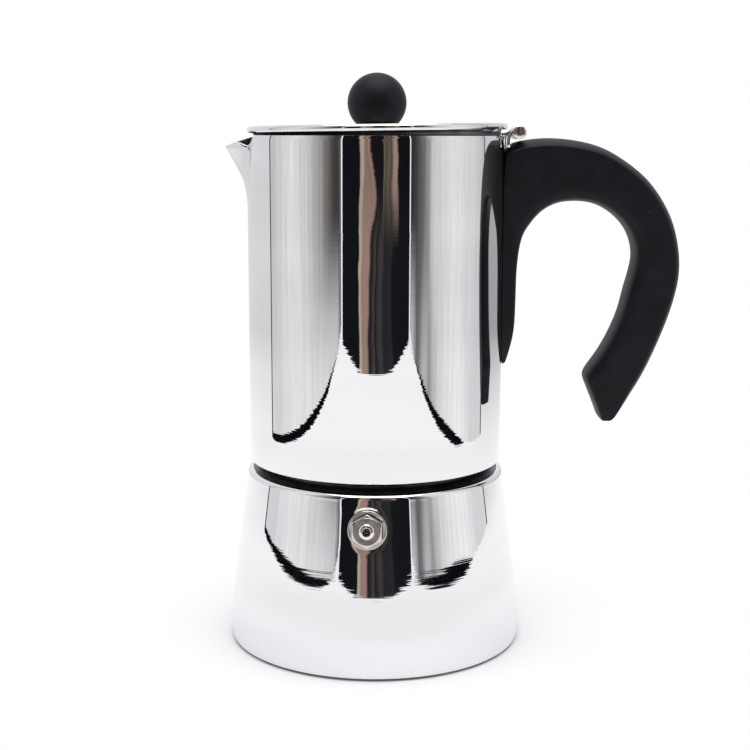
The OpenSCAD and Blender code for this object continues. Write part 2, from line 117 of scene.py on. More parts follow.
# mirror-polished stainless steel: the wheel leaves fine rows round the pot, which fray the edges of what it mirrors
def makePolished(name, rows=900, waves=60, dimple=False):
    made, tree, shader, where = newMaterial(name, Metallic=1.0)
    lines = add(tree, "Mapping", {"Vector": where, "Scale": (16, 16, rows)})  # 900 rows a metre, 1.1 mm apart
    grit = add(tree, "TexNoise", {"Vector": lines.outputs[0], "Scale": 1.0, "Detail": 2.0, "Roughness": 0.55})
    sweep = add(tree, "Mapping", {"Vector": where, "Scale": (9, 9, waves)})  # slow waves of the polisher's hand
    wave = add(tree, "TexNoise", {"Vector": sweep.outputs[0], "Scale": 1.0, "Detail": 1.0})
    fine = add(tree, "Bump", {"Height": grit.outputs["Fac"], "Strength": 1.0,
                              "Distance": polish["boilerRowDepth" if dimple else "rowDepth"]})
    slow = add(tree, "Bump", {"Height": wave.outputs["Fac"], "Strength": 1.0, "Distance": polish["waveDepth"],
                              "Normal": fine.outputs[0]})
    normal = slow.outputs[0]
    if dimple:  # the sheet sinks a little towards the valve that is clamped in it, inside a faint raised ring
        away = add(tree, "VectorMath", {0: where, 1: valveSpot}, operation="DISTANCE")
        sink, ring = [add(tree, "MapRange", {
            "Value": away.outputs["Value"], "From Min": polish[form + "From"], "From Max": polish[form + "To"],
            "To Min": 0.0, "To Max": polish[form + "Depth"]}, interpolation_type="SMOOTHSTEP")
            for form in ("sink", "ridge")]
        both = add(tree, "Math", {0: sink.outputs[0], 1: ring.outputs[0]}, operation="ADD")
        press = add(tree, "Bump", {"Height": both.outputs[0], "Strength": 1.0, "Distance": 1.0, "Normal": normal})
        normal = press.outputs[0]
    tree.links.new(normal, shader.inputs["Normal"])
    smear = add(tree, "TexNoise", {"Vector": where, "Scale": 38.0, "Detail": 4.0})
    rough = add(tree, "MapRange", {"Value": smear.outputs["Fac"], "From Min": 0.35, "From Max": 0.75,
                                   "To Min": 0.008, "To Max": 0.03})
    tree.links.new(rough.outputs[0], shader.inputs["Roughness"])
    mottle(tree, shader, wave.outputs["Fac"], ("#e6e6e9", "#f0f0f1"))
    return made


# satin stainless sheet of the inner parts: a soft grain turned round the axis blurs what it mirrors
def makeSatin():
    made, tree, shader, where = newMaterial("satinStainless", Metallic=1.0)
    split = add(tree, "SeparateXYZ", {"Vector": where})
    planar = add(tree, "CombineXYZ", {"X": split.outputs["X"], "Y": split.outputs["Y"]})
    radius = add(tree, "VectorMath", {0: planar.outputs[0]}, operation="LENGTH")
    rings = add(tree, "CombineXYZ", {"X": radius.outputs["Value"], "Z": split.outputs["Z"]})
    grain = add(tree, "TexNoise", {"Vector": rings.outputs[0], "Scale": 2600.0, "Detail": 2.0})  # 0.4 mm grain
    bump = add(tree, "Bump", {"Height": grain.outputs["Fac"], "Strength": 1.0, "Distance": 0.000008})
    tree.links.new(bump.outputs[0], shader.inputs["Normal"])
    stain = add(tree, "TexNoise", {"Vector": where, "Scale": 55.0, "Detail": 5.0})
    mottle(tree, shader, stain.outputs["Fac"], ("#c9c9cb", "#dcdcdd"), rough=(0.22, 0.38))
    return made


# free-turned stainless of the valve, threads and pins: bright, with the lathe's feed marks
def makeTurned():
    made, tree, shader, where = newMaterial("turnedStainless", Metallic=1.0)
    feed = add(tree, "TexNoise", {"Vector": where, "Scale": 3200.0, "Detail": 2.0})  # 0.3 mm feed
    bump = add(tree, "Bump", {"Height": feed.outputs["Fac"], "Strength": 1.0, "Distance": 0.000006})
    tree.links.new(bump.outputs[0], shader.inputs["Normal"])
    patch = add(tree, "TexNoise", {"Vector": where, "Scale": 420.0, "Detail": 3.0})
    mottle(tree, shader, patch.outputs["Fac"], ("#cfccc8", "#dedcd8"), rough=(0.1, 0.26))
    return made


# stainless painted dull grey as painted shade: it stands for the shade in the seam of the screw joint, on the lid's
# skirt, in the valve's hole and along the boiler's lowest edge
def makePaintedShadeSteel():
    made, tree, shader, where = newMaterial("paintedShadeStainless", Metallic=1.0)
    stain = add(tree, "TexNoise", {"Vector": where, "Scale": 90.0, "Detail": 5.0})
    mottle(tree, shader, stain.outputs["Fac"], ("#5d5d60", "#848487"), rough=(0.3, 0.45), stops=(0.35, 0.7))
    return made


# the base disc's underside, faced on a lathe: rings two millimetres apart and heat stains
def makeFaced():
    made, tree, shader, where = newMaterial("facedStainless", Metallic=1.0)
    rings = add(tree, "TexWave", {"Vector": where, "Scale": 160.0, "Distortion": 0.4, "Detail": 2.0},
                wave_type="RINGS", rings_direction="Z")
    bump = add(tree, "Bump", {"Height": rings.outputs["Fac"], "Strength": 1.0, "Distance": 0.00002})
    tree.links.new(bump.outputs[0], shader.inputs["Normal"])
    stain = add(tree, "TexNoise", {"Vector": where, "Scale": 30.0, "Detail": 5.0})
    mottle(tree, shader, stain.outputs["Fac"], ("#b9b7b3", "#cfcecb"), rough=(0.25, 0.45))
    return made


# black phenolic moulding with a spark-eroded grain: a dull sheen, a few specks of dust
def makePhenolic():
    made, tree, shader, where = newMaterial("mouldedPhenolic", IOR=1.5, Specular_IOR_Level=0.2)
    grain = add(tree, "TexNoise", {"Vector": where, "Scale": 1900.0, "Detail": 2.0, "Roughness": 0.6})  # 0.5 mm grain
    cloud = add(tree, "TexNoise", {"Vector": where, "Scale": 160.0, "Detail": 3.0})
    bump = add(tree, "Bump", {"Height": grain.outputs["Fac"], "Strength": 0.5, "Distance": 0.00003})
    tree.links.new(bump.outputs[0], shader.inputs["Normal"])
    rough = add(tree, "MapRange", {"Value": cloud.outputs["Fac"], "To Min": 0.42, "To Max": 0.56})
    tree.links.new(rough.outputs[0], shader.inputs["Roughness"])
    tone = add(tree, "ValToRGB", {"Fac": cloud.outputs["Fac"]})
    setRamp(tone.color_ramp, [(0.3, linear("#0c0e13")), (0.7, linear("#12151b"))])
    speck = add(tree, "TexVoronoi", {"Vector": where, "Scale": 330.0})  # cells 3 mm across, few with a speck
    dust = add(tree, "MapRange", {"Value": speck.outputs["Distance"], "From Min": 0.035, "From Max": 0.06,
                                  "To Min": 0.35, "To Max": 0.0})
    sparse = add(tree, "Math", {0: dust.outputs[0], 1: speck.outputs["Color"]}, operation="MULTIPLY")
    color = add(tree, "Mix", {"Factor": sparse.outputs[0], "A": tone.outputs[0], "B": linear("#8a8b90")},
                data_type="RGBA")
    tree.links.new(color.outputs["Result"], shader.inputs["Base Color"])
    return made


# moulded silicone: milky and soft
def makeSilicone():
    made, tree, shader, where = newMaterial("mouldedSilicone", IOR=1.41, Roughness=0.5)
    shader.inputs["Subsurface Weight"].default_value = 0.2
    cloud = add(tree, "TexNoise", {"Vector": where, "Scale": 120.0, "Detail": 3.0})
    mottle(tree, shader, cloud.outputs["Fac"], ("#d9d8d0", "#e6e5de"))
    bump = add(tree, "Bump", {"Height": cloud.outputs["Fac"], "Strength": 0.3, "Distance": 0.00005})
    tree.links.new(bump.outputs[0], shader.inputs["Normal"])
    return made


# turned brass of the knob's insert
def makeBrass():
    made, tree, shader, where = newMaterial("turnedBrass", Metallic=1.0)
    feed = add(tree, "TexNoise", {"Vector": where, "Scale": 2400.0, "Detail": 2.0})
    mottle(tree, shader, feed.outputs["Fac"], ("#c8a25a", "#d8b56e"), rough=(0.22, 0.36))
    return made


polished = makePolished("mirrorPolishedStainless")
polishedBoiler = makePolished("mirrorPolishedBoiler", dimple=True)
polishedFlat = makePolished("mirrorPolishedFlat", rows=16, waves=9)  # buffed flat, without rows
satin = makeSatin()
turned = makeTurned()
paintedShadeSteel = makePaintedShadeSteel()
faced = makeFaced()
phenolic = makePhenolic()
silicone = makeSilicone()
brass = makeBrass()
print("materials made")

# every node that stays as it is gets its finish
finishes = {
    turned: ["valve_nut", "valve_spring", "handle_screw", "knob_screw"],
    # painted shade: the rings in the screw joint's seam and the valve's plunger in its hole get the dark
    # painted-shade steel
    paintedShadeSteel: ["neck_ring", "thread_ring", "valve_plunger"],
    satin: ["funnel", "funnel_filter", "filter_plate", "collector_floor", "riser_tube", "riser_cap",
            "handle_bracket"],
    faced: ["base_disc"], silicone: ["gasket"], brass: ["knob_insert"]}
for material, names in finishes.items():
    for name in names:
        nodes[name].data.materials.clear()
        nodes[name].data.materials.append(material)


# smooth shading, with hard edges where two faces meet at more than the limit in degrees
def soften(mesh, limit):
    for face in mesh.faces:
        face.smooth = True
    for edge in mesh.edges:
        if len(edge.link_faces) == 2 and edge.calc_face_angle(0) > radians(limit):
            edge.smooth = False


# makes the piece's object, rides it on its body and lets it stand for its node
def finishPiece(name, bm, material, body, slot, *replaced, limit=34):
    soften(bm, limit)
    mesh = bpy.data.meshes.new(name)
    bm.to_mesh(mesh)
    bm.free()
    mesh.materials.append(material)
    piece = bpy.data.objects.new(name, mesh)
    scene.collection.objects.link(piece)
    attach(piece, body)
    if replaced:
        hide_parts(*replaced)
    print("made", name, len(mesh.polygons), "faces")
    return piece


# points of an arc, its angles in degrees
def arcPoints(cx, cz, r, start, stop, count):
    return [(cx + r * cos(radians(start + (stop - start) * i / count)),
             cz + r * sin(radians(start + (stop - start) * i / count))) for i in range(count + 1)]


# a chain of edges through the points
def chain(bm, points):
    verts = [bm.verts.new(p) for p in points]
    return verts + [bm.edges.new(pair) for pair in zip(verts, verts[1:])]


# turns a profile of radius and height, in millimetres, about the pot's axis
def turn(profile, steps, closed=False):
    bm = bmesh.new()
    points = [(r * mm, 0, z * mm) for r, z in profile]
    geom = chain(bm, points + points[:1] if closed else points)
    bmesh.ops.spin(bm, geom=geom, axis=(0, 0, 1), cent=(0, 0, 0), steps=steps, angle=2 * pi, use_merge=True)
    bmesh.ops.remove_doubles(bm, verts=bm.verts, dist=weld)
    bmesh.ops.recalc_face_normals(bm, faces=bm.faces)
    return bm


boiler = {"radius": 49.99, "shoulderR": 43.7, "shoulderZ": 59.5, "round": 1.8, "sheet": 1.2, "tuck": 0.2,
          "tuckHeight": 7.6, "disc": 45.5, "floor": 1.6, "foot": 0.4, "rows": 72, "steps": 256,
          "neck": 36.92, "lip": 0.9,
          "slopes": [(8.9, 0), (17, 0.1425), (32, 0.1425), (38, 0.137), (57.7, 0.137)]}


# the wall's radius: its slope is known at a few heights and is summed from the shoulder down
def wallRadius(z):
    low = boiler["slopes"][0][0]
    radius = boiler["shoulderR"]
    for (z0, s0), (z1, s1) in zip(boiler["slopes"], boiler["slopes"][1:]):
        if z < z1:
            cut = max(z, z0)
            radius += (z1 - cut) * (s1 + s0 + (s1 - s0) * (cut - z0) / (z1 - z0)) / 2
    tuck = boiler["tuck"] * ((low - z) / boiler["tuckHeight"]) ** 2 if z < low else 0
    return min(radius, boiler["radius"]) - tuck


# gives the faces inside a ring of the piece, in millimetres, another material
def liner(piece, material, reach, low, high):
    piece.data.materials.append(material)
    for face in piece.data.polygons:
        r, z = sqrt(face.center.x ** 2 + face.center.y ** 2) / mm, face.center.z / mm
        if r < reach and low < z < high:
            face.material_index = len(piece.data.materials) - 1


def buildBoiler():
    b = boiler
    top = b["shoulderZ"]
    low, high = 2.0, top - b["round"]  # the wall runs between its two roundings
    heights = [low + (high - low) * i / b["rows"] for i in range(b["rows"] + 1)]
    outer = [(wallRadius(z), z) for z in heights]
    profile = ([(0, b["floor"]), (b["disc"] + 0.2, b["floor"]), (b["disc"] + 1.1, b["foot"]), (48.2, b["foot"])]
               + arcPoints(wallRadius(low) - 1, b["foot"] + 1, 1, -90, -4, 10) + outer
               + arcPoints(b["shoulderR"] - b["round"], high, b["round"], 8, 90, 16)
               + [(40.6, top + 0.45), (39.8, top + 0.86), (b["neck"], top + b["lip"]), (b["neck"], top - 0.28),
                  (39.5, top - 0.3)]
               + arcPoints(b["shoulderR"] - b["round"], high, b["round"] - b["sheet"], 90, 8, 8)
               + [(r - b["sheet"], z) for r, z in reversed(outer[2::6])]
               + arcPoints(47.4, 3, 1.3, -6, -90, 6)
               + [(b["disc"] + 0.5, 1.66), (b["disc"] - 0.6, b["floor"] + b["sheet"]), (0, b["floor"] + b["sheet"])])
    bm = turn(profile, b["steps"])
    piece = finishPiece("boilerShell", bm, polishedBoiler, "boiler", "polished_steel", "boiler_shell")
    # painted shade on the neck, in the seam between boiler and collector
    liner(piece, paintedShadeSteel, 41.7, top - 1, 64)  # the neck in the seam
    # painted shade along the lowest edge, for the dark gap at the table
    liner(piece, paintedShadeSteel, 60, 0.3, 0.95)  # the lowest edge


buildBoiler()

collector = {"radius": 42.8, "bottom": 62.7, "rim": 171.6, "sheet": 0.9, "steps": 256, "cutLow": 142.0,
             "cutHalf": 16.3, "plain": 66, "plainRows": 20, "cutRows": 30}
# knee: the share of the spout's height below which its nose comes out slowly, and how far it is out there
spout = {"out": 7.4, "tip": 167.9, "across": 40, "up": 26, "gap": 0.03, "knee": 0.55, "kneeOut": 0.18, "soft": 0.1,
         "near": [(0, 0), (0.15, 0.2), (0.3, 0.72), (0.4, 1.18), (0.5, 1.42), (0.6, 1.3), (0.7, 0.82), (0.8, 0.36),
                  (0.87, 0.24), (0.93, 0.6), (0.97, 1.7), (1, 3.0)],
         "far": [(0, 0), (0.15, 0.38), (0.3, 1.18), (0.5, 1.98), (0.7, 2.8), (0.85, 3.3), (1, 3.5)]}


# half the width of the parabola that is cut out of the collector behind the spout
def cutHalf(z):
    share = (z - collector["cutLow"]) / (collector["rim"] - collector["cutLow"])
    return collector["cutHalf"] * sqrt(share) if share > 0 else 0


# the height of the spout's lip at a share of the way from its tip to the wall
def lipHeight(share):
    marks = spout["near"] if share < 0 else spout["far"]
    a = abs(share)
    for (a0, h0), (a1, h1) in zip(marks, marks[1:]):
        if a <= a1:
            t = (a - a0) / (a1 - a0)
            return spout["tip"] + h0 + (h1 - h0) * t
    return spout["tip"] + marks[-1][1]


# how far the spout's nose stands out of the wall at a height
def noseOut(z):
    t = (z - collector["cutLow"]) / (spout["tip"] - collector["cutLow"])
    t = min(max(t, 0), 1)
    knee, kneeOut = spout["knee"], spout["kneeOut"]
    if t < knee:
        return spout["out"] * kneeOut * (t / knee) ** 3
    return spout["out"] * (kneeOut + (1 - kneeOut) * ((t - knee) / (1 - knee)) ** 1.12)


# gives a piece its sheet thickness inwards, with its own finish inside when one is given
def addThickness(piece, sheet, offset=-1, width=0.00018, inside=None):
    wall = piece.modifiers.new("sheet", "SOLIDIFY")
    if inside:
        piece.data.materials.append(inside)
        wall.material_offset = len(piece.data.materials) - 1
    wall.thickness = sheet * mm
    wall.offset = offset
    wall.use_even_offset = True
    edge = piece.modifiers.new("edge", "BEVEL")
    edge.width = width
    edge.segments = 2
    edge.limit_method = "ANGLE"
    edge.angle_limit = radians(50)


def buildCollector():
    c = collector
    wall, bottom = c["radius"], c["bottom"]
    plain, cut = c["cutLow"] - c["plain"], c["rim"] - c["cutLow"]
    rows = ([(38.9, bottom), (40.4, bottom), (wall - 1.0, bottom), (wall - 0.75, bottom)]
            + arcPoints(wall - 0.6, bottom + 0.6, 0.6, -80, 0, 8) + [(wall, 64.2), (wall, 64.8)]
            + [(wall, c["plain"] + plain * i / c["plainRows"]) for i in range(c["plainRows"] + 1)]
            + [(wall, c["cutLow"] + cut * (i / c["cutRows"]) ** 1.6) for i in range(1, c["cutRows"] + 1)])
    bm = bmesh.new()
    geom = chain(bm, [(-r * mm, 0, z * mm) for r, z in rows])
    bmesh.ops.spin(bm, geom=geom, axis=(0, 0, 1), cent=(0, 0, 0), steps=c["steps"], angle=2 * pi, use_merge=False)
    bm.verts.ensure_lookup_table()
    for index, vert in enumerate(bm.verts):
        r = sqrt(vert.co.x ** 2 + vert.co.y ** 2)
        angle = 2 * pi * (index // len(rows)) / c["steps"]  # from the spout, all the way round
        half = cutHalf(vert.co.z / mm) * mm
        away = asin(min(1, half / r)) if half else 0
        angle = away + angle * (2 * pi - 2 * away) / (2 * pi)
        vert.co.x, vert.co.y = -r * cos(angle), -r * sin(angle)
    bmesh.ops.remove_doubles(bm, verts=bm.verts, dist=weld)
    bmesh.ops.recalc_face_normals(bm, faces=bm.faces)
    if sum(f.normal.dot(Vector((f.calc_center_median().x, f.calc_center_median().y, 0))) for f in bm.faces) < 0:
        bmesh.ops.reverse_faces(bm, faces=bm.faces)
    piece = finishPiece("collectorShell", bm, polished, "collector", "polished_steel", "collector_shell")
    # painted shade on the collector's bottom, in the seam
    liner(piece, paintedShadeSteel, 41.95, 60, 63.2)
    addThickness(piece, c["sheet"], width=0.00025, inside=satin)


def buildSpout():
    s = spout
    bm = bmesh.new()
    bmesh.ops.create_grid(bm, x_segments=s["across"], y_segments=s["up"], size=1)
    for vert in bm.verts:
        u, v = vert.co.x, (vert.co.y + 1) / 2
        base = collector["cutLow"] + 0.25
        z = base + (lipHeight(u) - base) * v
        y = u * max(0, cutHalf(z) - s["gap"])
        soft = (sqrt(u * u + s["soft"] ** 2) - s["soft"]) / (sqrt(1 + s["soft"] ** 2) - s["soft"])
        x = -sqrt(collector["radius"] ** 2 - y * y) - noseOut(z) * (1 - soft)
        vert.co = Vector((x, y, z)) * mm
    bmesh.ops.remove_doubles(bm, verts=bm.verts, dist=weld)
    bmesh.ops.recalc_face_normals(bm, faces=bm.faces)
    if sum(f.normal.x for f in bm.faces) > 0:
        bmesh.ops.reverse_faces(bm, faces=bm.faces)
    piece = finishPiece("pressedSpout", bm, polished, "collector", "polished_steel", "spout", limit=60)
    addThickness(piece, collector["sheet"], width=0.0002, inside=satin)


buildCollector()
buildSpout()

lid = {"radius": 43.35, "bead": 1.15, "steps": 256, "shift": 0.5, "height": 174.05, "lean": -0.9, "top": 0.85,
       "sheet": 0.8}
onLid = (Matrix.Translation((lid["shift"] * mm, 0, lid["height"] * mm))
         @ Matrix.Rotation(radians(lid["lean"]), 4, "Y"))


# the profile is drawn from the middle of the bead, then laid on the pot, leaning a little towards the spout
def buildLid():
    top, under = lid["top"], lid["top"] - lid["sheet"]
    bead = lid["radius"] - lid["bead"]
    profile = ([(r, top) for r in (0, 8, 20, 30, 36, 39.6, 40.4)] + [(41.1, top + 0.04)]
               + arcPoints(bead, 0, lid["bead"], 132, -62, 26)
               + [(41.6, -1.05), (41.1, -1.5), (40.9, -1.9), (40.9, -4.1), (40.8, -4.4), (40.5, -4.5), (40.2, -4.45),
                  (40.1, -4.2), (40.1, under - 0.5), (40, under - 0.15), (39.6, under), (39.2, under), (8, under),
                  (0, under)])
    bm = turn(profile, lid["steps"])
    bmesh.ops.transform(bm, matrix=onLid, verts=bm.verts)
    piece = finishPiece("lidPlate", bm, polishedFlat, "lid", "polished_steel", "lid")
    # painted shade on the lid's skirt, in the gap under the bead
    liner(piece, paintedShadeSteel, 42.4, 160, lid["height"] - 0.75)  # the skirt inside the collector
    piece.data.materials.append(satin)
    for face in piece.data.polygons:  # the underside inside the skirt
        if face.normal.z < -0.9 and sqrt(face.center.x ** 2 + face.center.y ** 2) < 39.9 * mm:
            face.material_index = 2


buildLid()

knob = {"radius": 9.8, "flat": 0.9, "centre": 8.3, "seam": 0.05, "seamHalf": 0.35, "rows": 60, "steps": 128}


# a ball with a flat seat, and a faint flash line where the two mould halves met
def buildKnob():
    k = knob
    edge = asin((k["flat"] - k["centre"]) / k["radius"])
    seat = k["radius"] * cos(edge)
    start = edge + 0.03  # the seat's edge is rounded
    ball = []
    for i in range(k["rows"]):
        angle = start + (pi / 2 - start) * i / k["rows"]
        up = k["radius"] * sin(angle)
        ball.append((k["radius"] * cos(angle) + k["seam"] / (1 + (up / k["seamHalf"]) ** 4), k["centre"] + up))
    profile = ([(0, k["flat"]), (seat - 0.5, k["flat"]), (seat - 0.12, k["flat"] + 0.06)] + ball
               + [(0, k["centre"] + k["radius"])])
    bm = turn(profile, k["steps"])
    bmesh.ops.transform(bm, matrix=onLid, verts=bm.verts)
    finishPiece("ballKnob", bm, phenolic, "lid", "black_plastic", "knob")


buildKnob()

# the handle's sections, foot to free end: inner x, z, outer x, z, half width, how far the outer side is crowned
handle = {
    "rows": [(44.1, 95.4, 43.1, 94.8, 3.6, 0), (45.8, 101.4, 42.4, 100.4, 5.6, 0), (47, 108, 42.2, 108, 6.4, 0),
             (47.3, 118, 42.2, 118, 6.7, 0), (47.5, 128, 42.2, 130, 7, 0), (48.7, 137, 42.2, 146, 7.6, 0),
             (51.4, 142.3, 42.2, 159, 8.4, 0.1), (55.6, 147, 43, 168, 9, 0.8), (60.8, 149.6, 52.3, 170.75, 9.2, 1),
             (66.9, 150.2, 63.3, 170.7, 9.4, 1), (73, 149.3, 74.4, 168.3, 9.4, 1), (78.4, 146.5, 83.5, 163.3, 9.3, 1),
             (82.9, 142.3, 91.5, 156.6, 9.2, 1), (85.6, 137.4, 98, 147, 9.1, 1), (86.6, 132, 101.4, 137, 9, 1),
             (85.8, 126.6, 102.4, 127, 9, 1), (84.2, 120.6, 101, 118, 9, 1), (82.4, 113, 98.5, 109.6, 8.9, 1),
             (79.2, 105, 95.6, 101.9, 8.8, 1), (75.4, 98.2, 92.2, 94, 8.6, 1), (70.7, 90.8, 88.8, 87.6, 8.4, 1),
             (73.1, 85.1, 86.3, 83.6, 8.4, 1), (75.2, 80.1, 83.7, 79.9, 8.3, 1), (76.2, 77.5, 81.9, 77.5, 8, 1),
             (77.1, 75.9, 80, 76, 7.2, 1)],
    "smoothTo": 20, "between": 3, "betweenEnd": 2, "fullLength": 16,
    # half of a section, inner side to outer side: distance from the inner or outer side, share of the half width
    "inner": [(0, 0), (0.12, 0.4), (0.5, 0.68), (1.25, 0.87), (2.5, 0.97), (4.2, 1)],
    "outer": [(3.2, 1), (2.7, 0.99), (2.2, 0.95), (1.5, 0.8), (0.7, 0.55), (0.2, 0.28), (0, 0)],
    "square": [(4.6, 1), (3.2, 1), (2, 1), (1, 1), (0.1, 1), (0, 0.92), (0, 0)],
    "wall": 42.88}


# a smooth curve through the rows, at the share t of the way from row i to the next
def betweenRows(rows, i, t):
    a, b, c, d = (rows[max(i - 1, 0)], rows[i], rows[min(i + 1, len(rows) - 1)], rows[min(i + 2, len(rows) - 1)])
    return [0.5 * (2 * q + (r - p) * t + (2 * p - 5 * q + 4 * r - s) * t * t + (3 * q - p - 3 * r + s) * t ** 3)
            for p, q, r, s in zip(a, b, c, d)]


# the ring of points of one section; its roundings shrink where the section is short
def handleSection(row):
    ix, iz, ox, oz, half, crown = row
    start, stop = Vector((ix, 0, iz)), Vector((ox, 0, oz))
    length = (stop - start).length
    along = (stop - start) / length
    shrink = min(1, length / handle["fullLength"])
    side = [(inset * shrink, share) for inset, share in handle["inner"]]
    for (round0, round1), (square0, square1) in zip(handle["outer"], handle["square"]):
        inset, share = square0 + (round0 - square0) * crown, square1 + (round1 - square1) * crown
        side.append((length - inset * shrink, share))
    ring = [start + along * s + Vector((0, half * share, 0)) for s, share in side]
    ring += [start + along * s - Vector((0, half * share, 0)) for s, share in reversed(side[1:-1])]
    return ring


def buildHandle():
    rows = handle["rows"]
    sections = []
    for i in range(len(rows) - 1):
        smooth = i < handle["smoothTo"]  # the free end is cut straight
        count = handle["between" if smooth else "betweenEnd"]
        for k in range(count):
            straight = [p + (q - p) * k / count for p, q in zip(rows[i], rows[i + 1])]
            sections.append(handleSection(betweenRows(rows, i, k / count) if smooth else straight))
    sections.append(handleSection(rows[-1]))
    bm = bmesh.new()
    verts = [bm.verts.new(p * mm) for p in sections[0]]
    ring = [bm.edges.new((a, b)) for a, b in zip(verts, verts[1:] + verts[:1])]
    bmesh.ops.contextual_create(bm, geom=ring)
    for section in sections[1:]:
        made = bmesh.ops.extrude_edge_only(bm, edges=ring)["geom"]
        ring = [g for g in made if isinstance(g, bmesh.types.BMEdge)]
        verts = [g for g in made if isinstance(g, bmesh.types.BMVert)]
        for vert, place in zip(verts, section):
            vert.co = place * mm
    bmesh.ops.contextual_create(bm, geom=ring)
    for vert in bm.verts:
        reach = sqrt(vert.co.x ** 2 + vert.co.y ** 2)
        if reach < handle["wall"] * mm:  # the foot's back follows the collector
            vert.co.x = sqrt((handle["wall"] * mm) ** 2 - vert.co.y ** 2)
    bmesh.ops.recalc_face_normals(bm, faces=bm.faces)
    piece = finishPiece("curvedHandle", bm, phenolic, "collector", "black_plastic", "handle", limit=70)
    smooth = piece.modifiers.new("smooth", "SUBSURF")
    smooth.levels = smooth.render_levels = 2


buildHandle()

hinge = {"x": 47.0, "z": 172.75, "roll": 1.8, "sheet": 0.9, "half": 3.9, "inner": 4.2, "outer": 9.4, "edge": 0.00012,
         "strap": [(41.7, 172.17), (42.7, 172.18), (43.3, 172.25), (43.8, 172.5), (44.5, 173.0), (45.2, 173.58)],
         "bracket": [(43.42, 167.9), (43.42, 170.3), (43.5, 171.0), (43.8, 171.65), (44.3, 172.4), (44.95, 173.2)],
         "pin": [(0, -9.78), (0.9, -9.76), (1.6, -9.66), (2.05, -9.5), (2.15, -9.41), (1.0, -9.4)]}


# a strip of sheet along a path of x and z, rolled round the pin at its end
def rolledStrip(path, y0, y1):
    bm = bmesh.new()
    geom = chain(bm, [(x * mm, y0 * mm, z * mm) for x, z in path])
    edges = [g for g in geom if isinstance(g, bmesh.types.BMEdge)]
    made = bmesh.ops.extrude_edge_only(bm, edges=edges)["geom"]
    moved = [g for g in made if isinstance(g, bmesh.types.BMVert)]
    bmesh.ops.translate(bm, verts=moved, vec=(0, (y1 - y0) * mm, 0))
    bmesh.ops.recalc_face_normals(bm, faces=bm.faces)
    return bm


def buildHinge():
    h = hinge
    roll = arcPoints(h["x"], h["z"], h["roll"], 132, -176, 30)  # clockwise over the pin and round it
    bm = rolledStrip(h["strap"] + roll, -h["half"], h["half"])
    piece = finishPiece("lidStrap", bm, polished, "lid", "polished_steel", "lid_strap")
    addThickness(piece, h["sheet"], offset=0, width=h["edge"])
    for name, y0, y1 in (("bracketNear", -h["outer"], -h["inner"]), ("bracketFar", h["inner"], h["outer"])):
        bm = rolledStrip(h["bracket"] + roll, y0, y1)
        piece = finishPiece(name, bm, polished, "collector", "polished_steel", "hinge_bracket")
        addThickness(piece, h["sheet"], offset=0, width=h["edge"])
    bm = turn(h["pin"] + [(r, -y) for r, y in reversed(h["pin"])], 64)
    bmesh.ops.rotate(bm, verts=bm.verts, cent=(0, 0, 0), matrix=Matrix.Rotation(pi / 2, 3, "X"))
    bmesh.ops.translate(bm, verts=bm.verts, vec=(h["x"] * mm, 0, h["z"] * mm))
    finishPiece("hingePin", bm, turned, "collector", "turned_steel", "hinge_pin")


buildHinge()


# turns a shape whose axis is the valve's own, from the wall outwards, into its place
def placeOnWall(bm):
    place = (Matrix.Rotation(radians(-90 - valve["turn"]), 4, "Z")
             @ Matrix.Translation((valve["radius"] * mm, 0, valve["z"] * mm))
             @ Matrix.Rotation(radians(90 - valve["tilt"]), 4, "Y"))
    bmesh.ops.transform(bm, matrix=place, verts=bm.verts)


def buildValve():
    v = valve
    boss = turn([(4.1, -0.7), (v["boss"], -0.7), (v["boss"], 0.8)] + arcPoints(v["boss"] - 0.3, 0.9, 0.3, 0, 112, 7)
                + [(4.9, 0.72), (4.1, 0.7)], 96, closed=True)
    placeOnWall(boss)
    finishPiece("valveBoss", boss, turned, "boiler", "turned_steel", "valve_boss")
    body = bmesh.new()
    corner = v["hex"] / 2 / cos(pi / 6) * mm
    bmesh.ops.create_cone(body, cap_ends=True, segments=6, radius1=corner, radius2=corner, depth=v["thick"] * mm)
    bmesh.ops.rotate(body, verts=body.verts, cent=(0, 0, 0), matrix=Matrix.Rotation(pi / 6, 3, "Z"))
    bmesh.ops.translate(body, verts=body.verts, vec=(0, 0, 2.9 * mm))
    bmesh.ops.bevel(body, geom=body.edges[:], offset=v["edge"] * mm, segments=3, affect="EDGES", profile=0.5,
                    material=-1)
    ends = [f for f in body.faces if len(f.verts) == 6 and abs(f.normal.z) > 0.9 and f.calc_area() > 0.00003]
    bmesh.ops.inset_region(body, faces=ends, thickness=0.9 * mm)
    bmesh.ops.delete(body, geom=ends, context="FACES")
    face = turn([(2.6, -7), (2.6, 4.9), (2.75, 5.08), (4.2, 5.1)] + arcPoints(4.3, 4.9, 0.2, 90, 0, 3)
                + [(4.5, 4.2), (4.4, 1.3), (4, 1.2), (4, -9), (1.1, -9), (1.1, -7)], 96, closed=True)
    mesh = bpy.data.meshes.new("valveFace")
    face.to_mesh(mesh)
    face.free()
    body.from_mesh(mesh)
    bpy.data.meshes.remove(mesh)
    placeOnWall(body)
    finishPiece("valveBody", body, turned, "boiler", "turned_steel", "valve_body")
    ring = turn([(v["hole"], 2.6), (v["bore"], 2.6), (v["bore"], 4.85), (2.5, 5.0), (2.1, 5.28), (1.7, 5.46),
                 (1.5, 5.49), (1.33, 5.4), (v["hole"], 5.2)], 64, closed=True)
    placeOnWall(ring)
    finishPiece("valveRetainer", ring, polished, "boiler", "turned_steel", "valve_retainer")


buildValve()

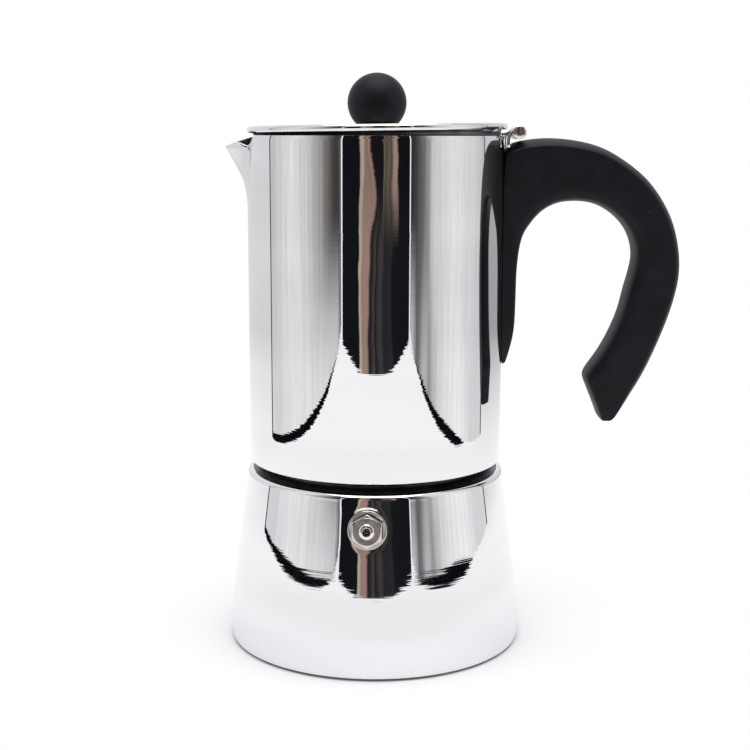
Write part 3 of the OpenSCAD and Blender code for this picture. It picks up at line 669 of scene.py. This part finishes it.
# the set: a white table inside a light tent, with its dark mouth behind the camera; the tent's cloth, rods, piping
# and mouth are glowing cards seen only in mirrors, painted reflections with their light and shade painted in
tent = {"side": 0.36, "flare": 0.033, "front": -0.69, "height": 0.9, "foot": -0.61, "flat": 0.15,
        "pipeLeft": (-0.379, -0.3605), "pipeRight": (0.3705, 0.391), "pipeAhead": 0.015,
        "hem": [(-0.3, 0), (-0.56, 0), (-0.62, 0.003), (-0.69, 0.012)]}


# a piece of the set, by default one that shows only in what mirrors it
def stageCard(name, bm, material, onlyGlossy=True):
    mesh = bpy.data.meshes.new(name)
    bm.to_mesh(mesh)
    bm.free()
    mesh.materials.append(material)
    card = bpy.data.objects.new(name, mesh)
    scene.collection.objects.link(card)
    if onlyGlossy:
        card.visible_camera = card.visible_diffuse = card.visible_transmission = False
        card.visible_shadow = card.visible_volume_scatter = False


# an upright sheet along a rail of x, y, foot and top
def stageSheet(name, rail, material):
    bm = bmesh.new()
    geom = (chain(bm, [(x, y, foot) for x, y, foot, top in rail])
            + chain(bm, [(x, y, top) for x, y, foot, top in rail]))
    bmesh.ops.bridge_loops(bm, edges=[g for g in geom if isinstance(g, bmesh.types.BMEdge)])
    stageCard(name, bm, material)


# a material that only glows, as bright as its colour is written
def glowMaterial(name, hexText="#ffffff"):
    material = bpy.data.materials.new(name)
    material.use_nodes = True
    tree = material.node_tree
    tree.nodes.clear()
    glow = add(tree, "Emission", {"Color": linear(hexText)})
    add(tree, "OutputMaterial", {"Surface": glow.outputs[0]})
    where = add(tree, "TexCoord").outputs["Object"]
    return material, tree, glow, where


# mixes two rows of tones by height, from the lower row to the upper one
def twoRows(tree, place, height, start, stop, rows):
    ramps = []
    for stops in rows:
        ramps.append(add(tree, "ValToRGB", {"Fac": place}))
        setRamp(ramps[-1].color_ramp, stops)
    lift = add(tree, "MapRange", {"Value": height, "From Min": start, "From Max": stop},
               interpolation_type="SMOOTHSTEP")
    return add(tree, "Mix", {"Factor": lift.outputs[0], "A": ramps[0].outputs[0], "B": ramps[1].outputs[0]},
               data_type="RGBA")


# the tent's cloth side, pale and creased, as a glowing card that paints its reflection with its light and shade: its
# tones run from the mouth to the back, one row of them near the table and one above
def makeCloth(name, upper, lower):
    material, tree, glow, where = glowMaterial(name)
    split = add(tree, "SeparateXYZ", {"Vector": where})
    folds = add(tree, "Mapping", {"Vector": where, "Scale": (1, 30, 2.2)})
    fold = add(tree, "TexNoise", {"Vector": folds.outputs[0], "Scale": 2.2, "Detail": 7.0, "Roughness": 0.66})
    wander = add(tree, "MapRange", {"Value": fold.outputs["Fac"], "From Min": 0.3, "From Max": 0.7,
                                    "To Min": -0.035, "To Max": 0.035})
    along = add(tree, "Math", {0: split.outputs["Y"], 1: wander.outputs[0]}, operation="ADD")
    reach = add(tree, "MapRange", {"Value": along.outputs[0], "From Min": -0.7, "From Max": 0.1})
    tones = [[((y + 0.7) / 0.8, linear(hexText)) for y, hexText in row] for row in (lower, upper)]
    tone = twoRows(tree, reach.outputs[0], split.outputs["Z"], 0.0, 0.12, tones)
    threads = add(tree, "Mapping", {"Vector": where, "Rotation": (0.06, 0, 0), "Scale": (1, 130, 8)})
    weave = add(tree, "TexNoise", {"Vector": threads.outputs[0], "Scale": 1.6, "Detail": 6.0, "Roughness": 0.75})
    shade = add(tree, "MapRange", {"Value": weave.outputs["Fac"], "From Min": 0.3, "From Max": 0.7,
                                   "To Min": 0.84, "To Max": 1.2})
    tree.links.new(tone.outputs["Result"], glow.inputs["Color"])
    tree.links.new(shade.outputs[0], glow.inputs["Strength"])
    return material


# tones from the mouth's left edge to its right edge
mouthUpper = [(0.0, "#14151a"), (0.306, "#14151a"), (0.314, "#a39b8a"), (0.345, "#b9ae98"), (0.362, "#8f7d6d"),
              (0.40, "#8a6e64"), (0.42, "#a8877c"), (0.435, "#6b564e"), (0.445, "#1a181a"), (0.578, "#161518"),
              (0.588, "#6d655c"), (0.62, "#50473e"), (0.645, "#6a6055"), (0.68, "#54473f"), (0.695, "#866f65"),
              (0.72, "#ab8f84"), (0.752, "#9b8478"), (0.765, "#161518"), (1.0, "#121316")]
mouthLower = [(0.0, "#14161a"), (0.302, "#16171b"), (0.310, "#b7b39d"), (0.334, "#aea68f"), (0.346, "#9d7f76"),
              (0.40, "#a3877e"), (0.42, "#876b64"), (0.43, "#332c2b"), (0.45, "#262426"), (0.475, "#3b3836"),
              (0.492, "#4a4643"), (0.505, "#1d1b1e"), (0.535, "#3a363b"), (0.57, "#423f3e"), (0.60, "#282729"),
              (0.68, "#2d2c2d"), (0.70, "#191a1e"), (1.0, "#15161a")]


# painted reflection of who stands in the tent's mouth, on a glowing card: dark clothes and a few warm stripes,
# plainer lower down, with a fold between them
def makeMouth(name):
    material, tree, glow, where = glowMaterial(name)
    split = add(tree, "SeparateXYZ", {"Vector": where})
    drape = add(tree, "Mapping", {"Vector": where, "Scale": (5, 5, 14)})
    sway = add(tree, "TexNoise", {"Vector": drape.outputs[0], "Scale": 1.0, "Detail": 3.0})
    bend = add(tree, "MapRange", {"Value": sway.outputs["Fac"], "From Min": 0.38, "From Max": 0.62,
                                  "To Min": -0.018, "To Max": 0.014})
    rise = add(tree, "Math", {0: split.outputs["Z"], 1: 0.13}, operation="SUBTRACT")
    level = add(tree, "Math", {0: rise.outputs[0]}, operation="ABSOLUTE")
    band = add(tree, "MapRange", {"Value": level.outputs[0], "From Min": 0.0, "From Max": 0.038, "To Min": 0.062,
                                  "To Max": 0.0}, interpolation_type="SMOOTHSTEP")
    off = add(tree, "Math", {0: split.outputs["X"], 1: 0.015}, operation="ADD")
    side = add(tree, "Math", {0: off.outputs[0]}, operation="ABSOLUTE")
    edge = add(tree, "MapRange", {"Value": side.outputs[0], "From Min": 0.02, "From Max": 0.1, "To Min": 1.0,
                                  "To Max": 0.0}, interpolation_type="SMOOTHSTEP")
    lean = add(tree, "Math", {0: band.outputs[0], 1: edge.outputs[0]}, operation="MULTIPLY")
    folded = add(tree, "Math", {0: split.outputs["X"], 1: lean.outputs[0]}, operation="SUBTRACT")
    across = add(tree, "MapRange", {"Value": folded.outputs[0], "From Min": -0.4, "From Max": 0.4})
    place = add(tree, "Math", {0: across.outputs[0], 1: bend.outputs[0]}, operation="ADD")
    tones = [[(x, linear(hexText)) for x, hexText in row] for row in (mouthLower, mouthUpper)]
    tone = twoRows(tree, place.outputs[0], split.outputs["Z"], 0.085, 0.15, tones)
    tree.links.new(tone.outputs["Result"], glow.inputs["Color"])
    return material


# painted light and shade of the tent's two sides, by their distance along the tent
leftUpper = [(-0.69, "#6e6c6c"), (-0.62, "#3e3c3b"), (-0.54, "#464342"), (-0.47, "#605d5a"), (-0.40, "#85807c"),
             (-0.34, "#a3a1a0"), (-0.29, "#b2b2b2"), (-0.23, "#d2d2d1"), (-0.16, "#e2e2e1"), (-0.10, "#eeeeed"),
             (-0.05, "#e4e4e3"), (0.0, "#d8d8d8"), (0.06, "#cbcbcb")]
leftLower = [(-0.69, "#4a4b50"), (-0.64, "#9a9b9d"), (-0.60, "#cfd0d1"), (-0.4, "#e2e2e2"), (-0.2, "#ededed"),
             (-0.1, "#eeeeee"), (0.0, "#dedee0"), (0.06, "#e0e0e2")]
rightUpper = [(-0.69, "#2e2e30"), (-0.62, "#343335"), (-0.55, "#474647"), (-0.48, "#636262"), (-0.42, "#807f7d"),
              (-0.37, "#a9a9a7"), (-0.32, "#d8d8d7"), (-0.24, "#dcdcdb"), (-0.18, "#ededec"), (-0.12, "#ededec"),
              (-0.06, "#e3e3e2"), (0.02, "#dcdcdc"), (0.08, "#c8c8c9")]
rightLower = [(-0.69, "#b9bbbd"), (-0.60, "#c2c4c6"), (-0.55, "#6a6b6c"), (-0.50, "#787979"), (-0.45, "#b4b4b5"),
              (-0.41, "#c2c2c2"), (-0.36, "#98989a"), (-0.31, "#bcbdbe"), (-0.26, "#dedede"), (-0.14, "#f6f7f7"),
              (-0.08, "#fbfbfb"), (0.0, "#dedfe0"), (0.08, "#e2e2e4")]
# the rods that hold the cloth down on the table: x, y and height
leftRod = [(-0.383, -0.665, 0.0006), (-0.379, -0.58, 0.0012), (-0.372, -0.525, 0.003), (-0.35, -0.405, 0.0065),
           (-0.347, -0.31, 0.007), (-0.35, -0.22, 0.0075), (-0.354, -0.147, 0.007), (-0.358, -0.096, 0.006),
           (-0.3595, -0.05, 0.0055), (-0.3585, 0.0, 0.0045), (-0.3575, 0.067, 0.004)]
rightRod = [(0.383, -0.665, 0.0006), (0.379, -0.58, 0.0012), (0.371, -0.515, 0.003), (0.355, -0.39, 0.0065),
            (0.349, -0.297, 0.007), (0.345, -0.22, 0.0085), (0.345, -0.16, 0.009), (0.345, -0.108, 0.007),
            (0.355, -0.067, 0.003), (0.36, -0.045, 0.0005)]
# the rods, posts and piping glow too, as painted reflections: dark rods and posts, bright white piping
rodMaterial = glowMaterial("tentRod", "#0c0d10")[0]
pipeMaterial = glowMaterial("tentPiping")[0]
for side, name, back, upper, lower, rod in ((-1, "Left", 0.067, leftUpper, leftLower, leftRod),
                                            (1, "Right", 0.095, rightUpper, rightLower, rightRod)):
    wall = [(side * (tent["side"] + tent["flare"] * (back - y)), y, foot, tent["height"])
            for y, foot in [(back, 0)] + tent["hem"]]
    stageSheet("tentCloth" + name, wall, makeCloth("tentCloth" + name, upper, lower))
    stageSheet("tentRod" + name, [(x, y, 0, high) for x, y, high in rod], rodMaterial)
    stageSheet("tentPost" + name, [(side * tent["side"], back, 0, tent["height"]),
                                   (side * (tent["side"] + 0.001), back + 0.009, 0, tent["height"])], rodMaterial)
    ahead = tent["front"] + tent["pipeAhead"]
    stageSheet("tentPiping" + name, [(x, ahead, 0, tent["height"]) for x in tent["pipe" + name]], pipeMaterial)
# the mouth stands on the table along a shallow bow, flat in its middle
bow = [(0.03 * i, tent["foot"] - 0.082 * max(0, abs(0.03 * i) - tent["flat"]) / 0.24) for i in range(-13, 14)]
stageSheet("tentMouth", [(x, y, 0, tent["height"]) for x, y in bow], makeMouth("tentMouth"))
print("tent set up")


# white sheet of the table: plain white far off, with the pot's own shade close to it; for what mirrors it, painted
# shade dims it far behind the pot and outside the tent
def makeTable():
    material = bpy.data.materials.new("whiteTable")
    material.use_nodes = True
    tree = material.node_tree
    shader = tree.nodes["Principled BSDF"]
    shader.inputs["Base Color"].default_value = linear("#fbfbfc")
    shader.inputs["Roughness"].default_value = 0.9
    shader.inputs["Specular IOR Level"].default_value = 0.0
    where = add(tree, "TexCoord").outputs["Object"]
    reach = add(tree, "VectorMath", {0: where}, operation="LENGTH")
    far = add(tree, "MapRange", {"Value": reach.outputs["Value"], "From Min": 0.055, "From Max": 0.13})
    paths = add(tree, "LightPath")
    seen = add(tree, "Math", {0: paths.outputs["Is Camera Ray"], 1: paths.outputs["Is Glossy Ray"]},
               operation="MAXIMUM")
    share = add(tree, "Math", {0: far.outputs[0], 1: seen.outputs[0]}, operation="MULTIPLY")
    split = add(tree, "SeparateXYZ", {"Vector": where})
    # painted shade: in mirrors the table glows dimmer behind the pot and outside the tent, more so to the right
    behind = add(tree, "MapRange", {"Value": split.outputs["Y"], "From Min": -0.02, "From Max": 0.12})
    outside = add(tree, "MapRange", {"Value": reach.outputs["Value"], "From Min": 0.3, "From Max": 0.8})
    gloom = add(tree, "MapRange", {"Value": split.outputs["X"], "From Min": -0.1, "From Max": 0.1, "To Min": 0.28,
                                   "To Max": 0.62})
    shade = add(tree, "Math", {0: behind.outputs[0], 1: outside.outputs[0]}, operation="MULTIPLY")
    less = add(tree, "Math", {0: shade.outputs[0], 1: gloom.outputs[0]}, operation="MULTIPLY")
    lit = add(tree, "Math", {0: 1.04, 1: less.outputs[0]}, operation="SUBTRACT")
    glare = add(tree, "Mix", {"Factor": paths.outputs["Is Glossy Ray"], "A": 1.0, "B": lit.outputs[0]},
                data_type="FLOAT")
    white = add(tree, "Emission", {"Color": (1, 1, 1, 1), "Strength": glare.outputs["Result"]})
    both = add(tree, "MixShader", {"Fac": share.outputs[0], 1: shader.outputs[0], 2: white.outputs[0]})
    tree.links.new(both.outputs[0], tree.nodes["Material Output"].inputs["Surface"])
    return material


tableTop = bmesh.new()
bmesh.ops.create_grid(tableTop, x_segments=1, y_segments=1, size=6)
stageCard("table", tableTop, makeTable(), onlyGlossy=False)
print("table set up")

light = {"world": 0.8, "top": 9.0, "size": 1.1, "place": (0.1, -0.25, 1.3), "tilt": -11}


# soft light from all round; the camera sees plain white, and what is mirrored is a painted reflection of the room,
# dimmer to both sides
def makeWorld():
    world = bpy.data.worlds.new("studio")
    world.use_nodes = True
    scene.world = world
    tree = world.node_tree
    tree.nodes.clear()
    paths = add(tree, "LightPath")
    seen = add(tree, "Math", {0: paths.outputs["Is Camera Ray"], 1: paths.outputs["Is Glossy Ray"]},
               operation="MAXIMUM")
    clear = add(tree, "Math", {0: seen.outputs[0], 1: paths.outputs["Is Transmission Ray"]}, operation="MAXIMUM")
    soft = add(tree, "Background", {"Color": linear("#fdfdff"), "Strength": light["world"]})
    aim = add(tree, "SeparateXYZ", {"Vector": add(tree, "TexCoord").outputs["Generated"]})
    turnTo = add(tree, "MapRange", {"Value": aim.outputs["X"], "From Min": -1.0, "From Max": 1.0})
    # painted reflection: the room's tones, seen only by glossy rays
    room = add(tree, "ValToRGB", {"Fac": turnTo.outputs[0]})
    setRamp(room.color_ramp, [(0, linear("#e2e3e6")), (0.2, linear("#e8e9ec")), (0.34, linear("#eeeff1")),
                              (0.47, linear("#fcfcfd")), (0.56, linear("#fafafb")), (0.7, linear("#e0e1e5")),
                              (0.82, linear("#dadbdf")), (1, linear("#d4d5d9"))])
    around = add(tree, "Mix", {"Factor": paths.outputs["Is Glossy Ray"], "A": (1, 1, 1, 1), "B": room.outputs[0]},
                 data_type="RGBA")
    white = add(tree, "Background", {"Color": around.outputs["Result"], "Strength": 1.0})
    mixed = add(tree, "MixShader", {"Fac": clear.outputs[0], 1: soft.outputs[0], 2: white.outputs[0]})
    add(tree, "OutputWorld", {"Surface": mixed.outputs[0]})


makeWorld()
topData = bpy.data.lights.new("topSoftbox", "AREA")
topData.energy = light["top"]
topData.size = light["size"]
top = bpy.data.objects.new("topSoftbox", topData)
top.location = light["place"]
top.rotation_euler = (radians(light["tilt"]), 0, 0)
scene.collection.objects.link(top)
print("lights set")
